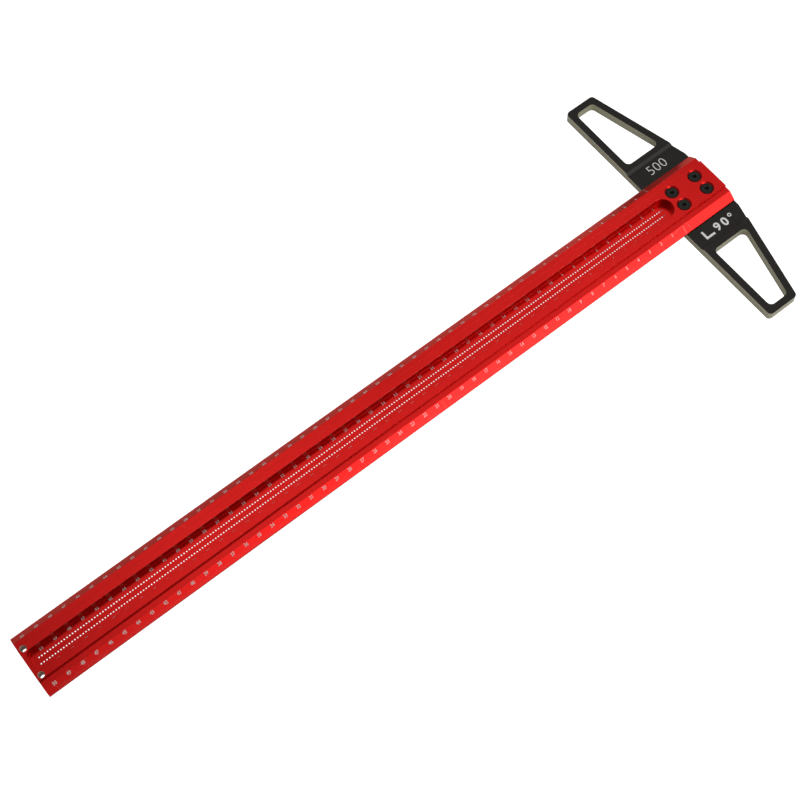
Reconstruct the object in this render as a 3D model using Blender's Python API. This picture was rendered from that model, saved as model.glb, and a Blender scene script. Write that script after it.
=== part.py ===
"""T square with a scribing blade: a red anodised aluminium blade screwed on top of a black head.

Frame: the origin is the middle of the head's registration face, on the blade's centre line.
+X runs along the blade away from the head, +Z points up through the blade, and Y runs along the head.
Inside the script every height is measured from the blade's underside, and one empty lifts the whole
assembly so that the origin lands on the registration face.
"""

import math

import bmesh
import bpy
from mathutils import Vector

MM = 0.001
GAP = 0.3 * MM                      # clearance between pieces that touch on the real tool

# blade, an extrusion with bevelled ruling edges and a raised middle
BLADE_HEAD_END_X = -43.0 * MM
BLADE_FAR_END_X = 507.0 * MM
BLADE_HALF_WIDTH = 22.4 * MM
BLADE_EDGE_HEIGHT = 1.2 * MM        # upright ruling edge below the bevel
BLADE_SHOULDER_HALF_WIDTH = 16.95 * MM
BLADE_SHOULDER_HEIGHT = 5.3 * MM
BLADE_RAISED_HALF_WIDTH = 12.7 * MM
BLADE_THICKNESS = 7.1 * MM

# scribing channel, milled from the top down to a thin floor
CHANNEL_HALF_WIDTH = 7.65 * MM
CHANNEL_FLOOR_HEIGHT = 1.05 * MM
CHANNEL_HEAD_END_X = -5.2 * MM      # crown of the round end
CHANNEL_FAR_END_X = 504.0 * MM
CHANNEL_CORNER_RADIUS = 3.0 * MM

# hanging holes at the far end
HANG_HOLE_X = 503.5 * MM
HANG_HOLE_Y = 10.2 * MM
HANG_HOLE_RADIUS = 2.0 * MM

# head: a flat bar with a milled seat for the blade and a window in each wing
HEAD_HALF_LENGTH = 102.4 * MM
HEAD_BOTTOM_HEIGHT = -5.0 * MM
HEAD_WING_HEIGHT = 1.8 * MM
HEAD_MIDDLE_WIDTH = 43.0 * MM
HEAD_TIP_WIDTH = 23.8 * MM
HEAD_TAPER = 0.254                  # how fast the outer edge closes in, per unit of length
HEAD_CORNER_RADIUS = 3.0 * MM
SEAT_HEIGHT = -GAP
SEAT_HALF_LENGTH = 37.0 * MM
SEAT_RAMP_LENGTH = 2.2 * MM
WINDOW_RIM = 5.0 * MM
WINDOW_NEAR_Y = 43.0 * MM
WINDOW_CORNER_RADIUS = 3.5 * MM

# M4 countersunk socket screws, two rows of two
SCREW_X = (-11.3 * MM, -31.7 * MM)
SCREW_Y = (-6.1 * MM, 6.1 * MM)
SCREW_TOP_HEIGHT = 6.4 * MM
SCREW_HEAD_RADIUS = 4.0 * MM
SCREW_RIM_HEIGHT = 0.3 * MM
SCREW_RADIUS = 2.0 * MM
SCREW_LENGTH = 10.0 * MM
SCREW_TIP_CHAMFER = 0.4 * MM
SOCKET_ACROSS_FLATS = 2.5 * MM
SOCKET_DEPTH = 1.9 * MM
SINK_RADIUS = 4.5 * MM              # round pocket above the countersink's cone

ROUND_SEGMENTS = 32
ARC_SEGMENTS = 6                    # per quarter turn of an outline
OVERSHOOT = 2.0 * MM                # how far a cutter stands out of what it cuts

# the origin is at mid height of the registration face
LIFT = -(HEAD_BOTTOM_HEIGHT + SEAT_HEIGHT) / 2


def clear_scene():
    for old in list(bpy.data.objects):
        bpy.data.objects.remove(old, do_unlink=True)


def make_material(name, color, roughness, metallic):
    material = bpy.data.materials.new(name)
    material.use_nodes = True
    shader = material.node_tree.nodes["Principled BSDF"]
    shader.inputs["Base Color"].default_value = (*color, 1.0)
    shader.inputs["Roughness"].default_value = roughness
    shader.inputs["Metallic"].default_value = metallic
    material.diffuse_color = (*color, 1.0)
    return material


def add_object(name, mesh, material, parent):
    thing = bpy.data.objects.new(name, mesh)
    bpy.context.scene.collection.objects.link(thing)
    thing.parent = parent
    if material is not None:
        mesh.materials.append(material)
    return thing


def rounded_outline(corners, radii):
    """The closed outline through the corners, counterclockwise, with an arc of the given radius at each."""
    outline = []
    for i, (corner, radius) in enumerate(zip(corners, radii)):
        here = Vector(corner)
        to_last = (Vector(corners[i - 1]) - here).normalized()
        to_next = (Vector(corners[(i + 1) % len(corners)]) - here).normalized()
        if radius == 0:
            outline.append(here)
            continue
        half_angle = to_last.angle(to_next) / 2
        centre = here + (to_last + to_next).normalized() * radius / math.sin(half_angle)
        start = here + to_last * radius / math.tan(half_angle) - centre
        sweep = math.pi - 2 * half_angle
        steps = max(2, round(ARC_SEGMENTS * sweep / (math.pi / 2)))
        for k in range(steps + 1):
            turn = sweep * k / steps
            outline.append(centre + Vector((
                start.x * math.cos(turn) - start.y * math.sin(turn),
                start.x * math.sin(turn) + start.y * math.cos(turn),
            )))
    return outline


def prism_mesh(name, outline, place, travel):
    """A closed solid: the flat outline, put into space by place(point), swept along travel."""
    bm = bmesh.new()
    face = bm.faces.new([bm.verts.new(place(point)) for point in outline])
    swept = bmesh.ops.extrude_face_region(bm, geom=[face])
    moved = [item for item in swept["geom"] if isinstance(item, bmesh.types.BMVert)]
    bmesh.ops.translate(bm, vec=travel, verts=moved)
    bmesh.ops.recalc_face_normals(bm, faces=bm.faces)
    mesh = bpy.data.meshes.new(name)
    bm.to_mesh(mesh)
    bm.free()
    return mesh


def upright_prism(name, outline, low, high):
    return prism_mesh(name, outline, lambda p: (p.x, p.y, low), (0, 0, high - low))


def turned_mesh(name, profile):
    """A closed solid of revolution about Z. The profile holds (radius, height) pairs from top to bottom."""
    bm = bmesh.new()
    top = bm.verts.new((0, 0, profile[0][1]))
    bottom = bm.verts.new((0, 0, profile[-1][1]))
    rings = []
    for radius, height in profile:
        ring = []
        for k in range(ROUND_SEGMENTS):
            turn = 2 * math.pi * k / ROUND_SEGMENTS
            ring.append(bm.verts.new((radius * math.cos(turn), radius * math.sin(turn), height)))
        rings.append(ring)
    for k in range(ROUND_SEGMENTS):
        after = (k + 1) % ROUND_SEGMENTS
        bm.faces.new((top, rings[0][k], rings[0][after]))
        bm.faces.new((bottom, rings[-1][after], rings[-1][k]))
        for upper, lower in zip(rings, rings[1:]):
            bm.faces.new((upper[k], lower[k], lower[after], upper[after]))
    bmesh.ops.recalc_face_normals(bm, faces=bm.faces)
    mesh = bpy.data.meshes.new(name)
    bm.to_mesh(mesh)
    bm.free()
    return mesh


def add_cutter(target, name, mesh, location=(0, 0, 0)):
    """Cuts the mesh out of the target with a Boolean, and keeps the cutter as a hidden guide."""
    cutter = add_object(name, mesh, None, target.parent)
    cutter.location = location
    cutter.hide_render = True
    cutter.display_type = "WIRE"
    boolean = target.modifiers.new(name, "BOOLEAN")
    boolean.operation = "DIFFERENCE"
    boolean.object = cutter


def screw_places():
    return [(x, y) for x in SCREW_X for y in SCREW_Y]


def make_blade(material, parent):
    half_section = [
        (BLADE_HALF_WIDTH, 0.0),
        (BLADE_HALF_WIDTH, BLADE_EDGE_HEIGHT),
        (BLADE_SHOULDER_HALF_WIDTH, BLADE_SHOULDER_HEIGHT),
        (BLADE_RAISED_HALF_WIDTH, BLADE_SHOULDER_HEIGHT),
        (BLADE_RAISED_HALF_WIDTH, BLADE_THICKNESS),
    ]
    section = half_section + [(-y, z) for y, z in reversed(half_section)]
    mesh = prism_mesh(
        "blade",
        [Vector(point) for point in section],
        lambda p: (BLADE_HEAD_END_X, p.x, p.y),
        (BLADE_FAR_END_X - BLADE_HEAD_END_X, 0, 0),
    )
    blade = add_object("blade", mesh, material, parent)

    # the channel's head end is a half circle, made by two corners as wide as the channel allows
    channel = rounded_outline(
        [
            (CHANNEL_FAR_END_X, -CHANNEL_HALF_WIDTH),
            (CHANNEL_FAR_END_X, CHANNEL_HALF_WIDTH),
            (CHANNEL_HEAD_END_X, CHANNEL_HALF_WIDTH),
            (CHANNEL_HEAD_END_X, -CHANNEL_HALF_WIDTH),
        ],
        [CHANNEL_CORNER_RADIUS, CHANNEL_CORNER_RADIUS, 0.98 * CHANNEL_HALF_WIDTH, 0.98 * CHANNEL_HALF_WIDTH],
    )
    channel_mesh = upright_prism(
        "channel_cutter", channel, CHANNEL_FLOOR_HEIGHT, BLADE_THICKNESS + OVERSHOOT
    )
    add_cutter(blade, "channel_cutter", channel_mesh)

    hang_mesh = turned_mesh(
        "hang_hole_cutter",
        [(HANG_HOLE_RADIUS, BLADE_THICKNESS + OVERSHOOT), (HANG_HOLE_RADIUS, -OVERSHOOT)],
    )
    for number, side in enumerate((-1, 1), 1):
        add_cutter(blade, f"hang_hole_cutter_{number}", hang_mesh, (HANG_HOLE_X, side * HANG_HOLE_Y, 0))

    # the 90 degree cone follows the screw's own cone one gap away
    slant_gap = GAP * math.sqrt(2)
    rim_bottom = SCREW_TOP_HEIGHT - SCREW_RIM_HEIGHT
    cone_top = rim_bottom + SINK_RADIUS - SCREW_HEAD_RADIUS - slant_gap
    hole_radius = SCREW_RADIUS + GAP
    cone_bottom = cone_top - (SINK_RADIUS - hole_radius)
    sink_mesh = turned_mesh(
        "sink_cutter",
        [
            (SINK_RADIUS, BLADE_THICKNESS + OVERSHOOT),
            (SINK_RADIUS, cone_top),
            (hole_radius, cone_bottom),
            (hole_radius, -OVERSHOOT),
        ],
    )
    for number, (x, y) in enumerate(screw_places(), 1):
        add_cutter(blade, f"sink_cutter_{number}", sink_mesh, (x, y, 0))
    return blade


def outer_edge_x(y):
    """X of the head's slanted outer edge at a distance y from the centre line."""
    return -HEAD_TIP_WIDTH - HEAD_TAPER * (HEAD_HALF_LENGTH - y)


def window_corners():
    """The window in the +Y wing: square to the registration face on one side, slanted on the other."""
    far_y = HEAD_HALF_LENGTH - WINDOW_RIM
    slant_rim = WINDOW_RIM * math.sqrt(1 + HEAD_TAPER**2)
    return [
        (-WINDOW_RIM, WINDOW_NEAR_Y),
        (-WINDOW_RIM, far_y),
        (outer_edge_x(far_y) + slant_rim, far_y),
        (outer_edge_x(WINDOW_NEAR_Y) + slant_rim, WINDOW_NEAR_Y),
    ]


def make_head(material, parent):
    # the slanted edge meets the straight middle, flush with the blade's end, at this distance
    taper_start_y = HEAD_HALF_LENGTH - (HEAD_MIDDLE_WIDTH - HEAD_TIP_WIDTH) / HEAD_TAPER
    half_corners = [
        (0.0, HEAD_HALF_LENGTH),
        (-HEAD_TIP_WIDTH, HEAD_HALF_LENGTH),
        (-HEAD_MIDDLE_WIDTH, taper_start_y),
    ]
    corners = half_corners + [(x, -y) for x, y in reversed(half_corners)]
    radii = [HEAD_CORNER_RADIUS, HEAD_CORNER_RADIUS, 0, 0, HEAD_CORNER_RADIUS, HEAD_CORNER_RADIUS]
    mesh = upright_prism("head", rounded_outline(corners, radii), HEAD_BOTTOM_HEIGHT, HEAD_WING_HEIGHT)
    head = add_object("head", mesh, material, parent)

    low, high = HEAD_BOTTOM_HEIGHT - OVERSHOOT, HEAD_WING_HEIGHT + OVERSHOOT
    far_window = window_corners()
    near_window = [(x, -y) for x, y in reversed(far_window)]
    for number, window in enumerate((near_window, far_window), 1):
        outline = rounded_outline(window, [WINDOW_CORNER_RADIUS] * len(window))
        add_cutter(head, f"window_cutter_{number}", upright_prism("window_cutter", outline, low, high))

    # the seat's ramps carry on above the wings at the same slope
    ramp_slope = SEAT_RAMP_LENGTH / (HEAD_WING_HEIGHT - SEAT_HEIGHT)
    seat_top_half = SEAT_HALF_LENGTH + ramp_slope * (high - SEAT_HEIGHT)
    seat_section = [
        Vector((-SEAT_HALF_LENGTH, SEAT_HEIGHT)),
        Vector((SEAT_HALF_LENGTH, SEAT_HEIGHT)),
        Vector((seat_top_half, high)),
        Vector((-seat_top_half, high)),
    ]
    seat_mesh = prism_mesh(
        "seat_cutter",
        seat_section,
        lambda p: (-HEAD_MIDDLE_WIDTH - OVERSHOOT, p.x, p.y),
        (HEAD_MIDDLE_WIDTH + 2 * OVERSHOOT, 0, 0),
    )
    add_cutter(head, "seat_cutter", seat_mesh)

    hole_mesh = turned_mesh("tapped_hole_cutter", [(SCREW_RADIUS + GAP, high), (SCREW_RADIUS + GAP, low)])
    for number, (x, y) in enumerate(screw_places(), 1):
        add_cutter(head, f"tapped_hole_cutter_{number}", hole_mesh, (x, y, 0))
    return head


def make_screws(material, parent):
    """Four screws that share one mesh: a countersunk head, a plain shank for the thread, and a hex socket."""
    cone_top = SCREW_TOP_HEIGHT - SCREW_RIM_HEIGHT
    cone_bottom = cone_top - (SCREW_HEAD_RADIUS - SCREW_RADIUS)
    tip = SCREW_TOP_HEIGHT - SCREW_LENGTH
    mesh = turned_mesh(
        "countersunk_screw",
        [
            (SCREW_HEAD_RADIUS, SCREW_TOP_HEIGHT),
            (SCREW_HEAD_RADIUS, cone_top),
            (SCREW_RADIUS, cone_bottom),
            (SCREW_RADIUS, tip + SCREW_TIP_CHAMFER),
            (SCREW_RADIUS - SCREW_TIP_CHAMFER, tip),
        ],
    )
    mesh.shade_smooth()
    mesh.set_sharp_from_angle(angle=math.radians(30))
    mesh.materials.append(material)

    corner_radius = SOCKET_ACROSS_FLATS / math.sqrt(3)
    hexagon = [
        Vector((corner_radius * math.cos(k * math.pi / 3), corner_radius * math.sin(k * math.pi / 3)))
        for k in range(6)
    ]
    socket_mesh = upright_prism(
        "socket_cutter", hexagon, SCREW_TOP_HEIGHT - SOCKET_DEPTH, SCREW_TOP_HEIGHT + OVERSHOOT
    )
    for number, (x, y) in enumerate(screw_places(), 1):
        screw = add_object(f"countersunk_screw_{number}", mesh, None, parent)
        screw.location = (x, y, 0)
        add_cutter(screw, f"socket_cutter_{number}", socket_mesh, (x, y, 0))


def main():
    clear_scene()
    root = bpy.data.objects.new("t_square", None)
    bpy.context.scene.collection.objects.link(root)
    root.location = (0, 0, LIFT)

    red = make_material("red_anodised", (0.55, 0.012, 0.010), 0.38, 0.85)
    black = make_material("black_anodised", (0.022, 0.021, 0.020), 0.5, 0.6)
    oxide = make_material("black_oxide", (0.02, 0.02, 0.022), 0.42, 0.8)

    make_blade(red, root)
    make_head(black, root)
    make_screws(oxide, root)


main()
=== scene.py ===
# T square with a scribing blade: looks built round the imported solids.
import math
import random

import bmesh
import bpy
from mathutils import Matrix, Vector


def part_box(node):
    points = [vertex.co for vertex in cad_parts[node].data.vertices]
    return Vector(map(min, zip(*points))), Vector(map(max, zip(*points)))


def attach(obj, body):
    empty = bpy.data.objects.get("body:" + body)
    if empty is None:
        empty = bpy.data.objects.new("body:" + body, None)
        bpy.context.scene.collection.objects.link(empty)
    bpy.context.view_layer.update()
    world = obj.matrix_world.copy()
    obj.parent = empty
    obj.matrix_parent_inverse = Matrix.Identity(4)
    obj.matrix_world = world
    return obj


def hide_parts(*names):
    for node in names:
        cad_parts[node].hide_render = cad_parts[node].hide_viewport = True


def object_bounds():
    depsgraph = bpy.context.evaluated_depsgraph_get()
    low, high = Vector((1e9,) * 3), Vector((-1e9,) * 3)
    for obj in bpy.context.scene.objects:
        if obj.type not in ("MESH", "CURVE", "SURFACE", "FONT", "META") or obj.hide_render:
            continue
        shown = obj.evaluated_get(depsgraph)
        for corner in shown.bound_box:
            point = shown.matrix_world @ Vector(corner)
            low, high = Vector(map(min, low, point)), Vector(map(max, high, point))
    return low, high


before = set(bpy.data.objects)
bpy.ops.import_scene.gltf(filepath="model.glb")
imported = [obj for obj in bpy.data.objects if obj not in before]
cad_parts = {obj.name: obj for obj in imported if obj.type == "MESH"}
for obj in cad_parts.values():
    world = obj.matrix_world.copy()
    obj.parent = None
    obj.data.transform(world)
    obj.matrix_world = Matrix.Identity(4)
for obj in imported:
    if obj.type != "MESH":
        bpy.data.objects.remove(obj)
cadLow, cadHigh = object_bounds()
print("frame: packed solids loaded")

mm = 0.001
mmPerMetre = 1000.0
sliverSize = 0.0005 * mm          # points closer than this after a cut are one point
dice = random.Random(7)


def newObject(name, mesh):
    thing = bpy.data.objects.new(name, mesh)
    bpy.context.scene.collection.objects.link(thing)
    return thing


def closedMesh(name, points, faces):
    mesh = bpy.data.meshes.new(name)
    mesh.from_pydata(points, [], faces)
    bm = bmesh.new()
    bm.from_mesh(mesh)
    bmesh.ops.recalc_face_normals(bm, faces=bm.faces)
    bm.to_mesh(mesh)
    bm.free()
    return mesh


def loftParts(rings):
    # a skin over rings of equal length, capped at both ends
    count = len(rings[0])
    points = [tuple(point) for ring in rings for point in ring]
    faces = []
    for level in range(len(rings) - 1):
        low, high = level * count, (level + 1) * count
        for k in range(count):
            after = (k + 1) % count
            faces.append((low + k, low + after, high + after, high + k))
    faces.append(tuple(reversed(range(count))))
    faces.append(tuple(range((len(rings) - 1) * count, len(rings) * count)))
    return points, faces


def loftMesh(name, rings):
    return closedMesh(name, *loftParts(rings))


def turnedRings(profile, segments, x=0.0, y=0.0):
    # (radius, height) pairs turned about an upright axis
    turns = [2 * math.pi * k / segments for k in range(segments)]
    return [
        [(x + radius * math.cos(a), y + radius * math.sin(a), height) for a in turns]
        for radius, height in profile
    ]


def roundedOutline(corners, radii, steps=6):
    # closed outline with an arc of the given radius at each corner
    outline = []
    count = len(corners)
    for i in range(count):
        corner = Vector(corners[i])
        arriving = (corner - Vector(corners[i - 1])).normalized()
        leaving = (Vector(corners[(i + 1) % count]) - corner).normalized()
        if radii[i] == 0:
            outline.append(corner)
            continue
        sweep = arriving.angle(leaving)
        side = 1 if arriving.x * leaving.y - arriving.y * leaving.x > 0 else -1
        inward = Vector((-arriving.y, arriving.x)) * side
        start = corner - arriving * radii[i] * math.tan(sweep / 2)
        centre = start + inward * radii[i]
        pieces = max(2, round(steps * sweep / (math.pi / 2)))
        for k in range(pieces + 1):
            turn = Matrix.Rotation(side * sweep * k / pieces, 2)
            outline.append(centre + turn @ (start - centre))
    return outline


def grownOutline(outline, distance):
    # a counterclockwise outline moved outwards, or inwards with a minus sign
    grown = []
    count = len(outline)
    for i in range(count):
        arriving = (outline[i] - outline[i - 1]).normalized()
        leaving = (outline[(i + 1) % count] - outline[i]).normalized()
        before = Vector((arriving.y, -arriving.x))
        after = Vector((leaving.y, -leaving.x))
        middle = (before + after).normalized()
        grown.append(outline[i] + middle * distance / max(0.4, middle.dot(before)))
    return grown


def levelRings(outline, levels):
    # the outline at each (growth, height) pair
    return [
        [(p.x, p.y, height) for p in grownOutline(outline, growth)]
        for growth, height in levels
    ]


def settle(thing):
    # keeps the result of the modifiers as plain mesh
    bpy.context.view_layer.update()
    graph = bpy.context.evaluated_depsgraph_get()
    mesh = bpy.data.meshes.new_from_object(thing.evaluated_get(graph))
    thing.modifiers.clear()
    plain = thing.data
    thing.data = mesh
    mesh.name = plain.name
    if plain.users == 0:
        bpy.data.meshes.remove(plain)


def mergeSlivers(mesh, distance):
    # removes what a cut leaves behind: double points and faces without area
    bm = bmesh.new()
    bm.from_mesh(mesh)
    bmesh.ops.remove_doubles(bm, verts=bm.verts, dist=distance)
    bmesh.ops.dissolve_degenerate(bm, edges=bm.edges, dist=distance)
    bm.to_mesh(mesh)
    bm.free()


def combine(thing, meshes, operation="DIFFERENCE"):
    others = []
    for mesh in meshes:
        other = newObject("tool", mesh)
        others.append(other)
        modifier = thing.modifiers.new("combine", "BOOLEAN")
        modifier.operation = operation
        modifier.solver = "EXACT"
        modifier.material_mode = "TRANSFER"
        modifier.object = other
    settle(thing)
    mergeSlivers(thing.data, sliverSize)
    for other in others:
        mesh = other.data
        bpy.data.objects.remove(other)
        bpy.data.meshes.remove(mesh)


def softenShading(thing, sharpDegrees):
    # smooth over small roundings, with the flat faces kept flat
    thing.data.shade_smooth()
    thing.data.set_sharp_from_angle(angle=math.radians(sharpDegrees))
    modifier = thing.modifiers.new("weights", "WEIGHTED_NORMAL")
    modifier.keep_sharp = True
    modifier.weight = 100
    settle(thing)


def finishPiece(thing, material, slotName, *nodes):
    if not any(thing.data.materials):
        thing.data.materials.clear()
        thing.data.materials.append(material)
    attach(thing, "root")
    if nodes:
        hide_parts(*nodes)


def newGroup(name, inputs, outputs):
    tree = bpy.data.node_groups.new(name, "ShaderNodeTree")
    for label, kind, value in inputs:
        socket = tree.interface.new_socket(label, in_out="INPUT", socket_type=kind)
        if value is not None:
            socket.default_value = value
    for label, kind in outputs:
        tree.interface.new_socket(label, in_out="OUTPUT", socket_type=kind)
    start = tree.nodes.new("NodeGroupInput")
    start.location = (-900, 0)
    end = tree.nodes.new("NodeGroupOutput")
    end.location = (700, 0)
    return tree, start, end


def wire(output, socket):
    output.id_data.links.new(output, socket)


def addNode(tree, kind, place, values=None, **settings):
    # each value is either a constant or the output to wire in
    node = tree.nodes.new(kind)
    node.location = place
    for key, value in settings.items():
        setattr(node, key, value)
    for key, value in (values or {}).items():
        if isinstance(value, bpy.types.NodeSocket):
            wire(value, node.inputs[key])
        else:
            node.inputs[key].default_value = value
    return node


def addMath(tree, operation, place, *values, clamp=False):
    inputs = dict(enumerate(values))
    node = addNode(tree, "ShaderNodeMath", place, inputs, operation=operation, use_clamp=clamp)
    return node.outputs[0]


def addRange(tree, place, value, fromLow, fromHigh, toLow, toHigh):
    node = addNode(tree, "ShaderNodeMapRange", place, {
        "Value": value, "From Min": fromLow, "From Max": fromHigh, "To Min": toLow, "To Max": toHigh,
    })
    return node.outputs["Result"]


def addMix(tree, place, factor, first, second):
    inputs = {0: factor, 6: first, 7: second}         # the colour sockets of the Mix node
    return addNode(tree, "ShaderNodeMix", place, inputs, data_type="RGBA").outputs[2]


def addGroup(tree, group, place, values):
    return addNode(tree, "ShaderNodeGroup", place, values, node_tree=group)


def addShowThrough(tree, place, mask, amount, colour, below):
    # lets the colour below show through where the mask is, by no more than amount
    share = addMath(tree, "MULTIPLY", (place[0] - 200, place[1] - 200), mask, amount)
    return addMix(tree, place, share, colour, below)


def addEffects(tree, place, finish):
    # the shared effects that a finish has values for, in one column
    effects = {}
    for key, group in finishEffects.items():
        if key in finish:
            spot = (-1000, 500 - 200 * len(effects))
            effects[key] = addGroup(tree, group, spot, {"Vector": place, **finish[key]})
    return effects


def newMaterial(name, viewColour):
    material = bpy.data.materials.new(name)
    material.use_nodes = True
    material.diffuse_color = viewColour
    tree = material.node_tree
    shader = tree.nodes["Principled BSDF"]
    shader.location = (600, 0)
    tree.nodes["Material Output"].location = (950, 0)
    place = addNode(tree, "ShaderNodeTexCoord", (-1300, 0)).outputs["Object"]
    return material, tree, shader, place


def addBump(tree, place, height, distance, strength, normal=None):
    inputs = {"Strength": strength, "Distance": distance, "Height": height}
    if normal is not None:
        inputs["Normal"] = normal
    return addNode(tree, "ShaderNodeBump", place, inputs).outputs["Normal"]


# fine matt grain left by bead blasting before the anodising
beadGrain, start, end = newGroup(
    "beadGrain",
    [("Vector", "NodeSocketVector", None), ("Grain mm", "NodeSocketFloat", 0.25)],
    [("Height", "NodeSocketFloat"), ("Mask", "NodeSocketFloat")],
)
perMetre = addMath(beadGrain, "DIVIDE", (-700, -200), mmPerMetre, start.outputs["Grain mm"])
fine = addNode(beadGrain, "ShaderNodeTexNoise", (-450, 100), {"Detail": 2.0, "Roughness": 0.6})
pits = addNode(beadGrain, "ShaderNodeTexVoronoi", (-450, -200), feature="SMOOTH_F1")
for node in (fine, pits):
    wire(start.outputs["Vector"], node.inputs["Vector"])
    wire(perMetre, node.inputs["Scale"])
both = addMath(beadGrain, "MULTIPLY_ADD", (-150, 0), pits.outputs["Distance"], 0.6, fine.outputs[0])
wire(both, end.inputs["Height"])
wire(addRange(beadGrain, (150, -150), both, 0.5, 1.1, 0.0, 1.0), end.inputs["Mask"])

# faint lines along the length, from the extrusion die
drawnStreaks, start, end = newGroup(
    "drawnStreaks",
    [
        ("Vector", "NodeSocketVector", None),
        ("Spacing mm", "NodeSocketFloat", 0.5),
        ("Length mm", "NodeSocketFloat", 80.0),
    ],
    [("Height", "NodeSocketFloat"), ("Mask", "NodeSocketFloat")],
)
across = addMath(drawnStreaks, "DIVIDE", (-700, -100), mmPerMetre, start.outputs["Spacing mm"])
along = addMath(drawnStreaks, "DIVIDE", (-700, -300), mmPerMetre, start.outputs["Length mm"])
stretch = addNode(drawnStreaks, "ShaderNodeCombineXYZ", (-500, -200))
wire(along, stretch.inputs["X"])
wire(across, stretch.inputs["Y"])
wire(across, stretch.inputs["Z"])
scaled = addNode(drawnStreaks, "ShaderNodeVectorMath", (-300, 0), operation="MULTIPLY")
wire(start.outputs["Vector"], scaled.inputs[0])
wire(stretch.outputs[0], scaled.inputs[1])
lines = addNode(drawnStreaks, "ShaderNodeTexNoise", (-100, 0), {
    "Scale": 1.0, "Detail": 3.0, "Roughness": 0.65,
})
wire(scaled.outputs[0], lines.inputs["Vector"])
wire(lines.outputs[0], end.inputs["Height"])
streakMask = addRange(drawnStreaks, (300, -150), lines.outputs[0], 0.3, 0.7, 0.0, 1.0)
wire(streakMask, end.inputs["Mask"])

# slow cloudy change, for uneven dye and handling
softMottle, start, end = newGroup(
    "softMottle",
    [("Vector", "NodeSocketVector", None), ("Size mm", "NodeSocketFloat", 40.0)],
    [("Mask", "NodeSocketFloat")],
)
perMetre = addMath(softMottle, "DIVIDE", (-600, -150), mmPerMetre, start.outputs["Size mm"])
clouds = addNode(softMottle, "ShaderNodeTexNoise", (-300, 0), {"Detail": 4.0, "Roughness": 0.55})
wire(start.outputs["Vector"], clouds.inputs["Vector"])
wire(perMetre, clouds.inputs["Scale"])
cloudMask = addRange(softMottle, (100, 0), clouds.outputs[0], 0.3, 0.7, 0.0, 1.0)
wire(cloudMask, end.inputs["Mask"])

# thin bright wear on outer edges, broken up by noise
edgeWear, start, end = newGroup(
    "edgeWear",
    [
        ("Vector", "NodeSocketVector", None),
        ("Threshold", "NodeSocketFloat", 0.08),
        ("Breakup mm", "NodeSocketFloat", 2.0),
    ],
    [("Mask", "NodeSocketFloat")],
)
rounding = addNode(edgeWear, "ShaderNodeBevel", (-700, 200), {"Radius": 0.25 * mm}, samples=4)
surface = addNode(edgeWear, "ShaderNodeNewGeometry", (-700, 0))
facing = addNode(edgeWear, "ShaderNodeVectorMath", (-450, 150), operation="DOT_PRODUCT")
wire(rounding.outputs[0], facing.inputs[0])
wire(surface.outputs["True Normal"], facing.inputs[1])
bent = addMath(edgeWear, "SUBTRACT", (-250, 150), 1.0, facing.outputs["Value"])
perMetre = addMath(edgeWear, "DIVIDE", (-600, -250), mmPerMetre, start.outputs["Breakup mm"])
patches = addNode(edgeWear, "ShaderNodeTexNoise", (-350, -200), {"Detail": 4.0, "Roughness": 0.6})
wire(start.outputs["Vector"], patches.inputs["Vector"])
wire(perMetre, patches.inputs["Scale"])
broken = addMath(edgeWear, "MULTIPLY", (0, 50), bent, patches.outputs[0])
above = addMath(edgeWear, "SUBTRACT", (180, 50), broken, start.outputs["Threshold"])
wire(addMath(edgeWear, "MULTIPLY", (360, 50), above, 8.0, clamp=True), end.inputs["Mask"])

# a few hair scratches, in any direction
hairScratches, start, end = newGroup(
    "hairScratches",
    [
        ("Vector", "NodeSocketVector", None),
        ("Cell mm", "NodeSocketFloat", 30.0),
        ("Width", "NodeSocketFloat", 0.004),
    ],
    [("Mask", "NodeSocketFloat")],
)
perMetre = addMath(hairScratches, "DIVIDE", (-700, -200), mmPerMetre, start.outputs["Cell mm"])
warp = addNode(hairScratches, "ShaderNodeTexNoise", (-700, 200), {"Scale": 25.0, "Detail": 1.0})
wire(start.outputs["Vector"], warp.inputs["Vector"])
pushed = addNode(hairScratches, "ShaderNodeVectorMath", (-450, 150), {"Scale": 0.02}, operation="SCALE")
wire(warp.outputs["Color"], pushed.inputs[0])
bowed = addNode(hairScratches, "ShaderNodeVectorMath", (-280, 100), operation="ADD")
wire(start.outputs["Vector"], bowed.inputs[0])
wire(pushed.outputs[0], bowed.inputs[1])
cells = addNode(hairScratches, "ShaderNodeTexVoronoi", (-100, 0), feature="DISTANCE_TO_EDGE")
wire(bowed.outputs[0], cells.inputs["Vector"])
wire(perMetre, cells.inputs["Scale"])
thin = addMath(hairScratches, "LESS_THAN", (120, 0), cells.outputs["Distance"], start.outputs["Width"])
fade = addNode(hairScratches, "ShaderNodeTexNoise", (-100, -300), {"Scale": 60.0, "Detail": 2.0})
wire(start.outputs["Vector"], fade.inputs["Vector"])
some = addRange(hairScratches, (120, -250), fade.outputs[0], 0.55, 0.62, 0.0, 1.0)
wire(addMath(hairScratches, "MULTIPLY", (350, -50), thin, some), end.inputs["Mask"])

finishEffects = {
    "mottle": softMottle,
    "streaks": drawnStreaks,
    "grain": beadGrain,
    "wear": edgeWear,
    "scratches": hairScratches,
}

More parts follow.
